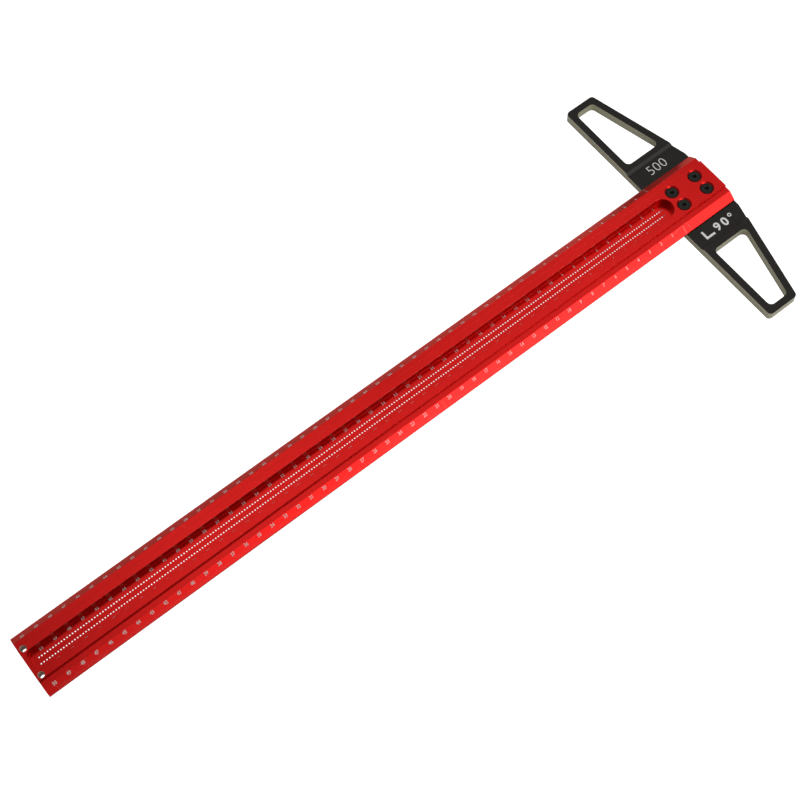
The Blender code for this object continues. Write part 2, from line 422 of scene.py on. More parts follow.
# in the finishes below, sizes marked mm are in millimetres and depths are in metres
redFinish = {
    "dye": (0.50, 0.0032, 0.0022, 1.0),
    "paleDye": (0.57, 0.0052, 0.0036, 1.0),
    "bareEdge": (0.80, 0.30, 0.26, 1.0),
    "metallic": 1.0,
    "roughness": (0.24, 0.31),
    "grazingTint": (1.0, 0.94, 0.82, 1.0),
    "clearCoat": 0.20,
    "clearCoatRoughness": 0.25,
    "mottle": {"Size mm": 45.0},
    "mottleAmount": 0.6,
    "streaks": {"Spacing mm": 0.7, "Length mm": 120.0},
    "streakAmount": 0.35,
    "streakRoughness": 0.03,
    "streakDepth": 0.004 * mm,
    "grain": {"Grain mm": 0.22},
    "grainDepth": 0.006 * mm,
    "wear": {"Threshold": 0.06, "Breakup mm": 3.0},
    "wearAmount": 0.5,
    "scratches": {"Cell mm": 45.0, "Width": 0.0015},
    "scratchAmount": 0.15,
}

redAnodised, tree, shader, place = newMaterial("redAnodised", redFinish["dye"])
effects = addEffects(tree, place, redFinish)
mottle, wear, scratch = (effects[key].outputs["Mask"] for key in ("mottle", "wear", "scratches"))
streaks, grain = effects["streaks"].outputs, effects["grain"].outputs
cloudy = addMath(tree, "MULTIPLY", (-850, 420), mottle, redFinish["mottleAmount"])
blotch = addMath(tree, "MULTIPLY_ADD", (-750, 350), streaks["Mask"], redFinish["streakAmount"], cloudy)
colour = addMix(tree, (-500, 350), blotch, redFinish["dye"], redFinish["paleDye"])
bare = redFinish["bareEdge"]
colour = addShowThrough(tree, (-250, 350), wear, redFinish["wearAmount"], colour, bare)
colour = addShowThrough(tree, (0, 350), scratch, redFinish["scratchAmount"], colour, bare)
wire(colour, shader.inputs["Base Color"])
rough = addRange(tree, (-500, 0), grain["Mask"], 0.0, 1.0, *redFinish["roughness"])
rough = addMath(tree, "MULTIPLY_ADD", (-250, 0), streaks["Mask"], redFinish["streakRoughness"], rough)
wire(rough, shader.inputs["Roughness"])
normal = addBump(tree, (-250, -300), streaks["Height"], redFinish["streakDepth"], 0.5)
normal = addBump(tree, (0, -300), grain["Height"], redFinish["grainDepth"], 0.6, normal)
wire(normal, shader.inputs["Normal"])
shader.inputs["Metallic"].default_value = redFinish["metallic"]
shader.inputs["Specular Tint"].default_value = redFinish["grazingTint"]
shader.inputs["Coat Weight"].default_value = redFinish["clearCoat"]
shader.inputs["Coat Roughness"].default_value = redFinish["clearCoatRoughness"]

blackFinish = {
    "dye": (0.0090, 0.0076, 0.0054, 1.0),
    "paleDye": (0.0145, 0.0124, 0.0092, 1.0),
    "paintedWallReflection": (0.39, 0.37, 0.26, 1.0),         # painted reflection: upright walls made paler olive grey, standing in for the surroundings they mirror
    "wallSteepness": (0.25, 0.6),                # upright part of the normal, wall up to face
    "bareEdge": (0.10, 0.097, 0.088, 1.0),
    "metallic": 0.3,
    "specularLevel": 0.30,
    "roughness": (0.36, 0.46),
    "mottle": {"Size mm": 25.0},
    "millMarks": {"Spacing mm": 0.35, "Length mm": 30.0},
    "millMarkTone": (0.93, 1.0),
    "grain": {"Grain mm": 0.30},
    "grainDepth": 0.002 * mm,
    "wear": {"Threshold": 0.05, "Breakup mm": 2.5},
    "wearAmount": 0.6,
    "scratches": {"Cell mm": 22.0, "Width": 0.003},
    "scratchAmount": 0.3,
}

blackAnodised, tree, shader, place = newMaterial("blackAnodised", blackFinish["dye"])
effects = addEffects(tree, place, blackFinish)
mottle, wear, scratch = (effects[key].outputs["Mask"] for key in ("mottle", "wear", "scratches"))
grain = effects["grain"].outputs
colour = addMix(tree, (-500, 350), mottle, blackFinish["dye"], blackFinish["paleDye"])
# painted reflection: upright walls of the head get a paler tone, streaked by mill marks, in place of the
# surroundings they mirror
surface = addNode(tree, "ShaderNodeNewGeometry", (-1100, 650))
upright = addNode(tree, "ShaderNodeSeparateXYZ", (-900, 650))
wire(surface.outputs["True Normal"], upright.inputs[0])
steep = addMath(tree, "ABSOLUTE", (-720, 650), upright.outputs["Z"])
wall = addRange(tree, (-540, 650), steep, *blackFinish["wallSteepness"], 1.0, 0.0)
marks = addGroup(tree, drawnStreaks, (-1000, 850), {"Vector": place, **blackFinish["millMarks"]})
marks = addRange(tree, (-540, 850), marks.outputs["Mask"], 0.0, 1.0, *blackFinish["millMarkTone"])
paintedReflectionShare = addMath(tree, "MULTIPLY", (-360, 700), wall, marks)
colour = addMix(tree, (-380, 350), paintedReflectionShare, colour, blackFinish["paintedWallReflection"])
bare = blackFinish["bareEdge"]
colour = addShowThrough(tree, (-250, 350), wear, blackFinish["wearAmount"], colour, bare)
colour = addShowThrough(tree, (0, 350), scratch, blackFinish["scratchAmount"], colour, bare)
wire(colour, shader.inputs["Base Color"])
rough = addRange(tree, (-250, 0), grain["Mask"], 0.0, 1.0, *blackFinish["roughness"])
wire(rough, shader.inputs["Roughness"])
normal = addBump(tree, (0, -300), grain["Height"], blackFinish["grainDepth"], 0.5)
wire(normal, shader.inputs["Normal"])
shader.inputs["Metallic"].default_value = blackFinish["metallic"]
shader.inputs["Specular IOR Level"].default_value = blackFinish["specularLevel"]

oxideFinish = {
    "skin": (0.009, 0.010, 0.009, 1.0),
    "paleSkin": (0.028, 0.028, 0.025, 1.0),
    "bareSteel": (0.32, 0.31, 0.30, 1.0),
    "metallic": 0.8,
    "roughness": (0.32, 0.48),
    "mottle": {"Size mm": 1.6},
    "grain": {"Grain mm": 0.12},
    "grainDepth": 0.004 * mm,
    "wear": {"Threshold": 0.09, "Breakup mm": 0.8},
    "wearAmount": 0.5,
}

blackOxide, tree, shader, place = newMaterial("blackOxide", oxideFinish["skin"])
effects = addEffects(tree, place, oxideFinish)
mottle, wear = effects["mottle"].outputs["Mask"], effects["wear"].outputs["Mask"]
colour = addMix(tree, (-500, 350), mottle, oxideFinish["skin"], oxideFinish["paleSkin"])
bare = oxideFinish["bareSteel"]
colour = addShowThrough(tree, (-250, 350), wear, oxideFinish["wearAmount"], colour, bare)
wire(colour, shader.inputs["Base Color"])
rough = addRange(tree, (-250, 0), mottle, 0.0, 1.0, *oxideFinish["roughness"])
wire(rough, shader.inputs["Roughness"])
normal = addBump(tree, (0, -300), effects["grain"].outputs["Height"], oxideFinish["grainDepth"], 0.6)
wire(normal, shader.inputs["Normal"])
shader.inputs["Metallic"].default_value = oxideFinish["metallic"]

# drilled metal without dye, and laser marks, which keep a little dye where they are thin
plainFinishes = {
    "scribedAluminium": {"clear": (0.92, 0.91, 0.88, 1.0), "dull": (0.80, 0.78, 0.74, 1.0)},
    "drilledAluminium": {"clear": (0.60, 0.43, 0.33, 1.0), "dull": (0.34, 0.22, 0.16, 1.0)},
    "etchedWhite": {"clear": (0.66, 0.56, 0.54, 1.0), "dull": (0.50, 0.36, 0.34, 1.0)},
    "etchedFaint": {"clear": (0.62, 0.16, 0.14, 1.0), "dull": (0.56, 0.07, 0.06, 1.0)},
    "etchedSilver": {"clear": (0.90, 0.90, 0.88, 1.0), "dull": (0.72, 0.72, 0.70, 1.0)},
}
bareSurface = {
    "roughness": (0.28, 0.45),
    "metallic": 0.6,
    "mottle": {"Size mm": 1.2},
    "grain": {"Grain mm": 0.10},
    "grainDepth": 0.003 * mm,
    "grainStrength": 0.6,
}
etchedSurface = {
    "roughness": (0.55, 0.75),
    "metallic": 0.25,
    "mottle": {"Size mm": 0.5},
    "grain": {"Grain mm": 0.08},
    "grainDepth": 0.006 * mm,
    "grainStrength": 0.8,
}


def plainMaterial(name, texture):
    tones = plainFinishes[name]
    material, tree, shader, place = newMaterial(name, tones["clear"])
    effects = addEffects(tree, place, texture)
    cloudy = effects["mottle"].outputs["Mask"]
    relief = effects["grain"].outputs["Height"]
    wire(addMix(tree, (-400, 300), cloudy, tones["clear"], tones["dull"]), shader.inputs["Base Color"])
    wire(addRange(tree, (-250, 0), cloudy, 0.0, 1.0, *texture["roughness"]), shader.inputs["Roughness"])
    normal = addBump(tree, (0, -300), relief, texture["grainDepth"], texture["grainStrength"])
    wire(normal, shader.inputs["Normal"])
    shader.inputs["Metallic"].default_value = texture["metallic"]
    return material


scribedAluminium = plainMaterial("scribedAluminium", bareSurface)
drilledAluminium = plainMaterial("drilledAluminium", bareSurface)
etchedWhite = plainMaterial("etchedWhite", etchedSurface)
etchedFaint = plainMaterial("etchedFaint", etchedSurface)
etchedSilver = plainMaterial("etchedSilver", etchedSurface)
print("finishes: red, black, oxide, bare and etched are ready")

bladeLow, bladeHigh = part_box("blade")
underside = bladeLow.z

bladeShape = {
    "edgeHeight": 1.2 * mm,
    "shoulderHalfWidth": 16.95 * mm,
    "shoulderHeight": 5.3 * mm,
    "raisedHalfWidth": 12.7 * mm,
    "rounding": 0.2 * mm,
    "endChamfer": 0.12 * mm,
    "sharpDegrees": 35,           # edges steeper than this stay sharp
}

halfWidth = bladeHigh.y
raisedHeight = bladeHigh.z - underside
rightSide = [
    (halfWidth, 0.0),
    (halfWidth, bladeShape["edgeHeight"]),
    (bladeShape["shoulderHalfWidth"], bladeShape["shoulderHeight"]),
    (bladeShape["raisedHalfWidth"], bladeShape["shoulderHeight"]),
    (bladeShape["raisedHalfWidth"], raisedHeight),
]
section = roundedOutline(
    rightSide + [(-y, z) for y, z in reversed(rightSide)],
    [bladeShape["rounding"]] * 10,
    steps=3,
)
endRings = [
    (bladeLow.x, -bladeShape["endChamfer"]),
    (bladeLow.x + bladeShape["endChamfer"], 0.0),
    (bladeHigh.x - bladeShape["endChamfer"], 0.0),
    (bladeHigh.x, -bladeShape["endChamfer"]),
]
blade = newObject("bladeBody", loftMesh("bladeBody", [
    [(x, p.x, underside + p.y) for p in grownOutline(section, growth)]
    for x, growth in endRings
]))
blade.data.materials.append(redAnodised)

channelShape = {
    "halfWidth": 7.65 * mm,
    "floorHeight": 1.05 * mm,
    "headEnd": -5.2 * mm,
    "farEnd": 504.0 * mm,
    "cornerRadius": 3.0 * mm,
    "headEndRounding": 0.98,      # share of the half width, so the head's end is nearly a half circle
    "floorFillet": 0.15 * mm,
    "filletDegrees": (0, 30, 60, 90),
    "topChamfer": 0.12 * mm,
}

channelFloor = underside + channelShape["floorHeight"]
wide, tight = channelShape["headEndRounding"] * channelShape["halfWidth"], channelShape["cornerRadius"]
channelOutline = roundedOutline(
    [
        (channelShape["farEnd"], -channelShape["halfWidth"]),
        (channelShape["farEnd"], channelShape["halfWidth"]),
        (channelShape["headEnd"], channelShape["halfWidth"]),
        (channelShape["headEnd"], -channelShape["halfWidth"]),
    ],
    [tight, tight, wide, wide],
    steps=12,
)
fillet = channelShape["floorFillet"]
levels = [
    (-fillet * (1 - math.sin(a)), channelFloor + fillet * (1 - math.cos(a)))
    for a in (math.radians(d) for d in channelShape["filletDegrees"])
]
levels += [
    (0.0, bladeHigh.z - channelShape["topChamfer"]),
    (channelShape["topChamfer"], bladeHigh.z),
    (channelShape["topChamfer"] + 1 * mm, bladeHigh.z + 1 * mm),
]
channelTool = loftMesh("channelTool", levelRings(channelOutline, levels))

holeShape = {
    "rowY": 2.06 * mm,            # odd millimetres on one side, even ones on the other
    "last": 500,
    "radius": 0.45 * mm,
    "mouthRadius": 0.50 * mm,
    "mouthDepth": 0.05 * mm,
    "undersideRadius": 0.86 * mm,  # relieved from below, so light shows through at a slant
    "reliefDepth": 0.55 * mm,
    "segments": 14,
}

past = 0.1 * mm                   # how far a cutter reaches past the faces it cuts
reliefSlope = (holeShape["undersideRadius"] - holeShape["radius"]) / holeShape["reliefDepth"]
mouthSlope = (holeShape["mouthRadius"] - holeShape["radius"]) / holeShape["mouthDepth"]
holePoints, holeFaces = [], []
for number in range(1, holeShape["last"] + 1):
    side = -1 if number % 2 else 1
    profile = [
        (holeShape["undersideRadius"] + reliefSlope * past, underside - past),
        (holeShape["radius"], underside + holeShape["reliefDepth"]),
        (holeShape["radius"], channelFloor - holeShape["mouthDepth"]),
        (holeShape["mouthRadius"] + mouthSlope * past, channelFloor + past),
    ]
    rings = turnedRings(profile, holeShape["segments"], number * mm, side * holeShape["rowY"])
    points, faces = loftParts(rings)
    base = len(holePoints)
    holePoints += points
    holeFaces += [tuple(base + k for k in face) for face in faces]
holeTool = closedMesh("holeTool", holePoints, holeFaces)

hangHoleShape = {
    "x": 503.5 * mm,
    "y": 10.2 * mm,
    "radius": 2.0 * mm,
    "chamfer": 0.2 * mm,
    "segments": 40,
}
chamfer = hangHoleShape["chamfer"]
hangTools = []
for side in (-1, 1):
    r = hangHoleShape["radius"]
    profile = [
        (r + chamfer + 1 * mm, underside - 1 * mm),
        (r, underside + chamfer),
        (r, bladeHigh.z - chamfer),
        (r + chamfer + 1 * mm, bladeHigh.z + 1 * mm),
    ]
    rings = turnedRings(profile, hangHoleShape["segments"], hangHoleShape["x"], side * hangHoleShape["y"])
    hangTools.append(loftMesh("hangTool", rings))

# countersinks follow the screws' own 90 degree cone
screwNodes = [f"countersunk_screw_{k}" for k in range(1, 5)]
screwBoxes = [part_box(node) for node in screwNodes]
screwTop = screwBoxes[0][1].z
screwShape = {
    "headRadius": (screwBoxes[0][1].x - screwBoxes[0][0].x) / 2,
    "headSegments": 56,
    "rimHeight": 0.3 * mm,
    "rimRounding": ((0.0, 0.1 * mm), (0.04 * mm, 0.04 * mm), (0.12 * mm, 0.0)),   # in and down
    "shankRadius": 2.0 * mm,
    "threadPitch": 0.7 * mm,
    "threadDepth": 0.38 * mm,
    "socketAcrossFlats": 2.5 * mm,
    "socketDepth": 1.9 * mm,
    "socketChamfer": 0.15 * mm,
    "drillPoint": 0.4 * mm,       # cone left by the drill below the hexagon
    "tipChamfer": 0.4 * mm,
    "sharpDegrees": 40,
    "sinkGap": 0.06 * mm,         # air round the head in its countersink
    "shankGap": 0.15 * mm,
    "sinkSegments": 48,
}
sinkTools = []
for low, high in screwBoxes:
    x, y = (low.x + high.x) / 2, (low.y + high.y) / 2
    rim = screwShape["headRadius"] + screwShape["sinkGap"]
    rimBottom = screwTop - screwShape["rimHeight"]
    hole = screwShape["shankRadius"] + screwShape["shankGap"]
    profile = [
        (hole, underside - 1 * mm),
        (hole, rimBottom - (rim - hole)),
        (rim + (bladeHigh.z + 1 * mm - rimBottom), bladeHigh.z + 1 * mm),
    ]
    sinkTools.append(loftMesh("sinkTool", turnedRings(profile, screwShape["sinkSegments"], x, y)))

# the channel and countersinks are dyed with the blade, the holes are drilled afterwards
for mesh in (channelTool, *sinkTools):
    mesh.materials.append(redAnodised)
holeTool.materials.append(scribedAluminium)
for mesh in hangTools:
    mesh.materials.append(drilledAluminium)
combine(blade, [channelTool, *hangTools, *sinkTools, holeTool])
softenShading(blade, bladeShape["sharpDegrees"])
finishPiece(blade, redAnodised, "red_anodised", "blade")
print("blade: section, channel, countersinks, hanging holes and", holeShape["last"], "scribing holes cut")

headLow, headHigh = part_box("head")
headShape = {
    "tipWidth": 23.8 * mm,
    "taper": 0.254,
    "cornerRadius": 3.0 * mm,
    "seatHalfLength": 37.0 * mm,
    "rampLength": 2.0 * mm,
    "rim": 5.0 * mm,
    "windowNearY": 43.0 * mm,
    "windowCornerRadius": 3.5 * mm,
    "edgeChamfer": 0.35 * mm,
    "chamferSteps": 2,
    "chamferDegrees": 35,
    "sharpDegrees": 50,
    "tappedRadius": 2.05 * mm,
    "tappedSegments": 32,
    "seatGap": 0.02 * mm,         # joint line under the blade
}

halfLength = headHigh.y
taperStart = halfLength - (-headLow.x - headShape["tipWidth"]) / headShape["taper"]
halfCorners = [(0.0, halfLength), (-headShape["tipWidth"], halfLength), (headLow.x, taperStart)]
corner = headShape["cornerRadius"]
headOutline = roundedOutline(
    halfCorners + [(x, -y) for x, y in reversed(halfCorners)],
    [corner, corner, 0, 0, corner, corner],
    steps=10,
)
rings = levelRings(headOutline, [(0.0, headLow.z), (0.0, headHigh.z)])
head = newObject("headBody", loftMesh("headBody", rings))


def outerEdge(y):
    # X of the slanted outer side at that distance from the centre line
    return -headShape["tipWidth"] - headShape["taper"] * (halfLength - y)


rim = headShape["rim"]
slantRim = rim * math.sqrt(1 + headShape["taper"] ** 2)
windowFarY = halfLength - rim
windowCorners = [
    (-rim, headShape["windowNearY"]),
    (-rim, windowFarY),
    (outerEdge(windowFarY) + slantRim, windowFarY),
    (outerEdge(headShape["windowNearY"]) + slantRim, headShape["windowNearY"]),
]
headTools = []
for side in (1, -1):
    corners = windowCorners if side == 1 else [(x, -y) for x, y in reversed(windowCorners)]
    outline = roundedOutline(corners, [headShape["windowCornerRadius"]] * 4, steps=8)
    rings = levelRings(outline, [(0.0, headLow.z - mm), (0.0, headHigh.z + mm)])
    headTools.append(loftMesh("windowTool", rings))

seatTop = underside - headShape["seatGap"]
seatHalf = headShape["seatHalfLength"]
slope = headShape["rampLength"] / (headHigh.z - seatTop)
overTop = headHigh.z + mm
seatHalfAbove = seatHalf + slope * (overTop - seatTop)
seatOutline = [
    (seatHalf, seatTop), (seatHalfAbove, overTop), (-seatHalfAbove, overTop), (-seatHalf, seatTop),
]
headTools.append(loftMesh("seatTool", [
    [(x, y, z) for y, z in seatOutline] for x in (headLow.x - mm, mm)
]))
for low, high in screwBoxes:
    x, y = (low.x + high.x) / 2, (low.y + high.y) / 2
    profile = [(headShape["tappedRadius"], z) for z in (headLow.z - mm, headHigh.z + mm)]
    headTools.append(loftMesh("tappedTool", turnedRings(profile, headShape["tappedSegments"], x, y)))
combine(head, headTools)
bevel = head.modifiers.new("edges", "BEVEL")
bevel.width = headShape["edgeChamfer"]
bevel.segments = headShape["chamferSteps"]
bevel.limit_method = "ANGLE"
bevel.angle_limit = math.radians(headShape["chamferDegrees"])
settle(head)
softenShading(head, headShape["sharpDegrees"])
finishPiece(head, blackAnodised, "black_anodised", "head")
print("head: seat, windows, tapped holes and chamfers done")


def threadedRod(radius, depth, pitch, top, bottom, segments=20):
    # V thread on one skewed grid, so that the crest runs true round the rod
    shape = ((0.0, radius), (0.3, radius - depth), (0.45, radius - depth), (0.85, radius))
    turns = math.ceil((top - bottom) / pitch) + 1
    rows = [(turn + share, r) for turn in range(turns) for share, r in shape]
    rows.append((float(turns), radius))
    perTurn = len(shape)
    points, faces = [], []
    for k in range(segments):
        angle = -2 * math.pi * k / segments
        for share, r in rows:
            height = top - pitch * (share + k / segments)
            points.append((r * math.cos(angle), r * math.sin(angle), height))
    count = len(rows)
    for k in range(segments):
        last = k == segments - 1
        for row in range(count - 1):
            if last and row + 1 + perTurn >= count:
                continue
            after = row + perTurn if last else row
            base = 0 if last else (k + 1) * count
            faces.append((k * count + row, base + after, base + after + 1, k * count + row + 1))
    topCentre, bottomCentre = len(points), len(points) + 1
    points += [(0, 0, top + pitch), (0, 0, bottom - 2 * pitch)]
    topLoop = [k * count for k in range(segments)] + [row for row in range(perTurn, -1, -1)]
    for a, b in zip(topLoop, topLoop[1:]):
        faces.append((topCentre, b, a))
    lastColumn = (segments - 1) * count
    bottomLoop = [k * count + count - 1 for k in range(segments)]
    bottomLoop += [lastColumn + row for row in range(count - 2, count - 2 - perTurn, -1)]
    bottomLoop.append(count - 1)
    for a, b in zip(bottomLoop, bottomLoop[1:]):
        faces.append((bottomCentre, a, b))
    return closedMesh("threadedRod", points, faces)


def screwMesh():
    # built with its top at height 0
    headRadius, shank = screwShape["headRadius"], screwShape["shankRadius"]
    coneBottom = -screwShape["rimHeight"] - (headRadius - shank)
    length = screwTop - screwBoxes[0][0].z
    tip = screwShape["tipChamfer"]
    screw = newObject("screwBlank", threadedRod(
        shank, screwShape["threadDepth"], screwShape["threadPitch"], coneBottom + 0.5 * mm, -length
    ))
    blank = [
        (shank - tip, -length),
        (shank + 0.01 * mm, -length + tip + 0.01 * mm),
        (shank + 0.01 * mm, 0.0),
    ]
    combine(screw, [loftMesh("tipTool", turnedRings(blank, 40))], "INTERSECT")
    headProfile = [
        (shank - 0.05 * mm, coneBottom - 0.05 * mm),
        (headRadius - 0.02 * mm, -screwShape["rimHeight"]),
        (headRadius, -screwShape["rimHeight"] + 0.03 * mm),
    ]
    headProfile += [(headRadius - inset, -drop) for inset, drop in screwShape["rimRounding"]]
    headTool = loftMesh("headTool", turnedRings(headProfile, screwShape["headSegments"]))
    combine(screw, [headTool], "UNION")
    across = screwShape["socketAcrossFlats"] / math.sqrt(3)
    turns = [k * math.pi / 3 for k in range(6)]
    hexagon = [Vector((across * math.cos(a), across * math.sin(a))) for a in turns]
    depth, mouth = screwShape["socketDepth"], screwShape["socketChamfer"]
    drilled = depth + screwShape["drillPoint"]
    socket = [(0.3 * across - across, -drilled), (0.0, -depth), (0.0, 0.5 * mm)]
    mouthProfile = [(0.1 * mm, mouth - across), (across + mouth + 0.4 * mm, 0.4 * mm)]
    combine(screw, [
        loftMesh("socketTool", levelRings(hexagon, socket)),
        loftMesh("mouthTool", turnedRings(mouthProfile, 40)),
    ])
    softenShading(screw, screwShape["sharpDegrees"])
    mesh = screw.data
    bpy.data.objects.remove(screw)
    return mesh


sharedScrew = screwMesh()
for number, (node, (low, high)) in enumerate(zip(screwNodes, screwBoxes), 1):
    screw = newObject(f"countersunkScrew{number}", sharedScrew)
    screw.location = ((low.x + high.x) / 2, (low.y + high.y) / 2, high.z)
    screw.rotation_euler.z = math.radians(dice.uniform(0, 60))     # no two hexagons stand alike
    finishPiece(screw, blackOxide, "black_oxide", node)
print("screws: four countersunk socket screws with cut threads")

scaleShape = {
    "last": 500,
    "tickWidth": 0.08 * mm,
    "tickLengths": (2.0 * mm, 2.7 * mm, 3.3 * mm),   # every 1, 5 and 10 mm
    "tickStart": 0.35 * mm,
    "numberHeight": 2.5 * mm,
    "numberMiddle": 5.1 * mm,                         # up the bevel from its outer edge
    "digitPitch": 1.45 * mm,
    "digitStyle": (2, 0.028),                         # curve steps, and boldness in digit heights
    "squeeze": 0.84,
    "zeroWidth": 0.22 * mm,
    "channelTick": (0.95 * mm, 1.9 * mm),             # outside the row of holes, from and to
    "channelNumberHeight": 2.0 * mm,
    "channelNumberY": 5.9 * mm,
    "channelNumberClear": 6.0 * mm,                   # no number nearer the channel's end than this
    "proud": 0.012 * mm,
    "sunk": 0.04 * mm,
}


def digitShapes(characters, resolution, offset, joinDistance=0.002):
    # each character as points and faces, 1 high, standing on 0, centred on its own width
    shapes = {}
    for character in characters:
        curve = bpy.data.curves.new("digit", "FONT")
        curve.body = character
        curve.resolution_u = resolution
        curve.extrude = 0.5
        curve.offset = offset
        text = newObject("digit", curve)
        bpy.context.view_layer.update()
        graph = bpy.context.evaluated_depsgraph_get()
        mesh = bpy.data.meshes.new_from_object(text.evaluated_get(graph))
        bm = bmesh.new()
        bm.from_mesh(mesh)
        bmesh.ops.remove_doubles(bm, verts=bm.verts, dist=joinDistance)
        bmesh.ops.dissolve_degenerate(bm, edges=bm.edges, dist=joinDistance)
        bmesh.ops.recalc_face_normals(bm, faces=bm.faces)
        xs = [v.co.x for v in bm.verts]
        ys = [v.co.y for v in bm.verts]
        middle, low, tall = (min(xs) + max(xs)) / 2, min(ys), max(ys) - min(ys)
        bm.verts.index_update()
        shapes[character] = {
            "points": [((v.co.x - middle) / tall, (v.co.y - low) / tall, v.co.z) for v in bm.verts],
            "faces": [tuple(v.index for v in face.verts) for face in bm.faces],
        }
        bm.free()
        bpy.data.objects.remove(text)
        bpy.data.curves.remove(curve)
        bpy.data.meshes.remove(mesh)
    return shapes


def newSheet(placing):
    # gathers flat marks on one plane, each a thin closed inlay
    return {"placing": placing, "points": [], "faces": []}


def addMark(sheet, points, faces):
    base = len(sheet["points"])
    for x, y, upper in points:
        height = scaleShape["proud"] if upper > 0 else -scaleShape["sunk"]
        sheet["points"].append(tuple(sheet["placing"] @ Vector((x, y, height))))
    sheet["faces"] += [tuple(base + k for k in face) for face in faces]


def addPlate(sheet, outline):
    count = len(outline)
    points = [(x, y, upper) for upper in (-1, 1) for x, y in outline]
    faces = [tuple(reversed(range(count))), tuple(range(count, 2 * count))]
    for k in range(count):
        after = (k + 1) % count
        faces.append((k, after, count + after, count + k))
    addMark(sheet, points, faces)


def addBar(sheet, left, right, low, high):
    addPlate(sheet, [(left, low), (right, low), (right, high), (left, high)])


def addRing(sheet, x, y, outer, inner, steps=32):
    turns = [2 * math.pi * k / steps for k in range(steps)]
    points = [
        (x + radius * math.cos(a), y + radius * math.sin(a), upper)
        for upper in (-1, 1) for radius in (outer, inner) for a in turns
    ]
    faces = []
    for k in range(steps):
        after = (k + 1) % steps
        corners = [(level * steps + k, level * steps + after) for level in (0, 2, 3, 1)]
        for (a, b), (c, d) in zip(corners, corners[1:] + corners[:1]):
            faces.append((a, b, d, c))
    addMark(sheet, points, faces)


def addWord(sheet, word, shapes, x, y, height, pitch, squeeze):
    start = x - pitch * (len(word) - 1) / 2
    for k, character in enumerate(word):
        shape = shapes[character]
        addMark(sheet, [
            (start + k * pitch + px * height * squeeze, y + (py - 0.5) * height, upper)
            for px, py, upper in shape["points"]
        ], shape["faces"])


def finishSheet(sheet, name, material):
    finishPiece(newObject(name, closedMesh(name, sheet["points"], sheet["faces"])), material, "")


smallDigits = digitShapes("0123456789", *scaleShape["digitStyle"])
slopeWidth = halfWidth - bladeShape["shoulderHalfWidth"]
slopeRise = bladeShape["shoulderHeight"] - bladeShape["edgeHeight"]
slopeLength = math.hypot(slopeWidth, slopeRise)
for side, name in ((-1, "Upper"), (1, "Lower")):
    # text runs towards the head and stands towards -Y, on both bevels
    textRight = Vector((-1, 0, 0))
    textUp = Vector((0, -slopeWidth, side * slopeRise)) / slopeLength
    outward = textRight.cross(textUp)
    placing = Matrix((textRight, textUp, outward)).transposed().to_4x4()
    placing.translation = Vector((0, side * halfWidth, underside + bladeShape["edgeHeight"]))
    ticks, numbers = newSheet(placing), newSheet(placing)
    tick = scaleShape["tickWidth"] / 2
    for millimetre in range(scaleShape["last"] + 1):
        step = 2 if millimetre % 10 == 0 else 1 if millimetre % 5 == 0 else 0
        reach = scaleShape["tickStart"] + scaleShape["tickLengths"][step]
        low, high = sorted((side * scaleShape["tickStart"], side * reach))
        if millimetre > 0:
            addBar(ticks, -millimetre * mm - tick, -millimetre * mm + tick, low, high)
    reach = scaleShape["numberMiddle"] + scaleShape["numberHeight"] / 2
    low, high = sorted((side * scaleShape["tickStart"], side * reach))
    addBar(numbers, -scaleShape["zeroWidth"] / 2, scaleShape["zeroWidth"] / 2, low, high)
    for centimetre in range(1, scaleShape["last"] // 10 + 1):
        addWord(
            numbers, str(centimetre), smallDigits,
            -centimetre * 10 * mm, side * scaleShape["numberMiddle"],
            scaleShape["numberHeight"], scaleShape["digitPitch"], scaleShape["squeeze"],
        )
    finishSheet(ticks, f"bevelTicks{name}", etchedFaint)
    finishSheet(numbers, f"bevelNumbers{name}", etchedWhite)

flat = Matrix(((-1, 0, 0), (0, -1, 0), (0, 0, 1))).to_4x4()      # same way up as on the bevels
for side, name in ((-1, "Upper"), (1, "Lower")):
    placing = flat.copy()
    placing.translation = Vector((0, 0, channelFloor))
    ticks, numbers = newSheet(placing), newSheet(placing)
    near, far = (holeShape["rowY"] + reach for reach in scaleShape["channelTick"])
    low, high = sorted((-side * near, -side * far))
    for millimetre in range(1 if side == -1 else 2, scaleShape["last"] + 1, 2):
        addBar(ticks, -millimetre * mm - tick, -millimetre * mm + tick, low, high)
    for centimetre in range(1, scaleShape["last"] // 10 + 1):
        along = centimetre * 10 * mm - (5 * mm if side == -1 else 0)
        if along < channelShape["farEnd"] - scaleShape["channelNumberClear"]:
            addWord(
                numbers, str(centimetre), smallDigits, -along, -side * scaleShape["channelNumberY"],
                scaleShape["channelNumberHeight"], scaleShape["digitPitch"], scaleShape["squeeze"],
            )
    finishSheet(ticks, f"channelTicks{name}", etchedFaint)
    finishSheet(numbers, f"channelNumbers{name}", etchedWhite)

headMarks = {
    "sizeMiddle": (-20.7 * mm, -31.0 * mm),
    "sizeHeight": 6.9 * mm,
    "sizePitch": 5.5 * mm,
    "angleMiddle": (-21.1 * mm, 30.4 * mm),
    "angleHeight": 6.7 * mm,
    "angleLength": 26.0 * mm,
    "anglePitch": 6.5 * mm,
    "stroke": 1.6 * mm,
    "thinStroke": 0.8 * mm,
    "degreeRadius": 1.5 * mm,
    "footShare": 1.15,            # foot of the sign against its height
    "squeeze": 1.05,
    "lightStyle": (4, -0.020),
    "boldStyle": (4, 0.028),
}
lightDigits = digitShapes("05", *headMarks["lightStyle"])
boldDigits = digitShapes("09", *headMarks["boldStyle"])
placing = flat.copy()
placing.translation = Vector((0, 0, seatTop))
sheet = newSheet(placing)
x, y = headMarks["sizeMiddle"]
addWord(sheet, "500", lightDigits, -x, -y, headMarks["sizeHeight"], headMarks["sizePitch"], 1.0)
finishSheet(sheet, "headSizeMark", etchedSilver)

